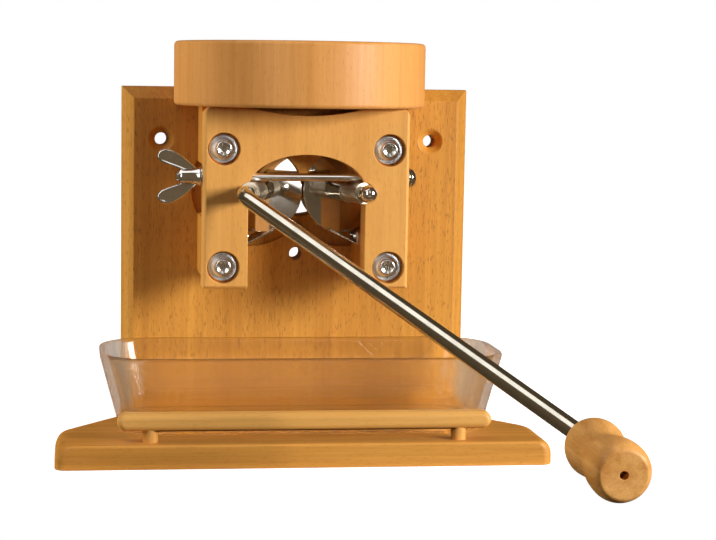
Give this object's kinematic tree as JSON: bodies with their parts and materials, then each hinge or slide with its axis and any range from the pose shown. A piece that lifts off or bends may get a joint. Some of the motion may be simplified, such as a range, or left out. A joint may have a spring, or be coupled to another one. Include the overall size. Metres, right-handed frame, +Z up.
{
  "type": "grain flaker",
  "caption": "Hand-cranked grain flaker: splayed steel rollers in a wooden body on a back board, with a round hopper, a glass dish and a base plate.",
  "frame": {"origin": "on the underside of the base plate, under the middle of the mill, a little in front of the back board", "axes": "+X to the right as the crank is faced, +Y towards the back board, +Z up"},
  "size_m": [0.297, 0.3533, 0.2515],
  "materials": {
    "beech": "oiled beech, fine grain",
    "beech_pale": "oiled beech, paler piece",
    "beech_hopper": "turned and oiled beech",
    "beech_handle": "turned and oiled beech",
    "dowel_beech": "plain beech dowel",
    "glass": "clear pressed glass",
    "stainless": "bright stainless steel",
    "rod_steel": "ground and polished steel rod",
    "roller_steel": "ground steel",
    "polished": "mirror polished",
    "zinc": "zinc-plated steel",
    "spring_steel": "blackened spring steel",
    "bronze": "plain sintered bronze"
  },
  "bodies": {
    "root": {"base_plate": "beech", "back_board": "beech", "board_screws": "zinc", "rail": "beech", "rail_pegs": "dowel_beech", "mill_block": "beech", "front_plate": "beech_pale", "body_bolts": "zinc", "bolt_washers": "stainless", "tee_nuts": "zinc", "hopper": "beech_hopper", "hopper_dowels": "dowel_beech", "tie_rod": "stainless", "tie_washer": "stainless", "drive_front_bush": "bronze", "idle_front_bush": "bronze", "drive_rear_bush": "bronze", "idle_rear_bush": "bronze", "left_scraper": "stainless", "right_scraper": "stainless", "scraper_screws": "zinc"},
    "dish": {"glass_dish": "glass"},
    "crank": {"drive_roller": "roller_steel", "drive_thrust_washer": "bronze", "drive_clip": "spring_steel", "drive_grub_screw": "spring_steel", "crank_rod": "rod_steel", "handle_ring": "spring_steel"},
    "handle": {"crank_handle": "beech_handle"},
    "idler": {"idle_roller": "roller_steel", "idle_thrust_washer": "bronze", "idle_clip": "spring_steel", "idle_grub_screw": "spring_steel", "idle_axle": "stainless", "cap_nut": "polished"},
    "wing_slide": {"wing_washer": "stainless"},
    "wing": {"wing_nut": "stainless"}
  },
  "joints": [
    {"name": "crank_turn", "type": "hinge", "parent": "root", "child": "crank", "pos_m": [-0.026, 0.024, 0.1585], "axis": [-0.309, -0.9511, 0], "continuous": true},
    {"name": "handle_turn", "type": "hinge", "parent": "crank", "child": "handle", "pos_m": [0.12157, -0.20994, 0.04544], "axis": [0, -0.9981, -0.061], "continuous": true},
    {"name": "idle_turn", "type": "hinge", "parent": "root", "child": "idler", "pos_m": [0.026, 0.024, 0.1585], "axis": [0.309, -0.9511, 0], "continuous": true},
    {"name": "wing_travel", "type": "slide", "parent": "root", "child": "wing_slide", "axis": [-1, 0, 0], "range_m": [0, 0.0016]},
    {"name": "wing_turn", "type": "hinge", "parent": "wing_slide", "child": "wing", "pos_m": [-0.066, 0.003, 0.1678], "axis": [-1, 0, 0], "range_deg": [0, 720]},
    {"name": "dish_slide", "type": "slide", "parent": "root", "child": "dish", "axis": [1, 0, 0], "range_m": [-0.14, 0.14]}
  ],
  "couplings": [
    {"joint": "wing_travel", "follows": "wing_turn", "m_per_rad": 0.00012732}
  ]
}
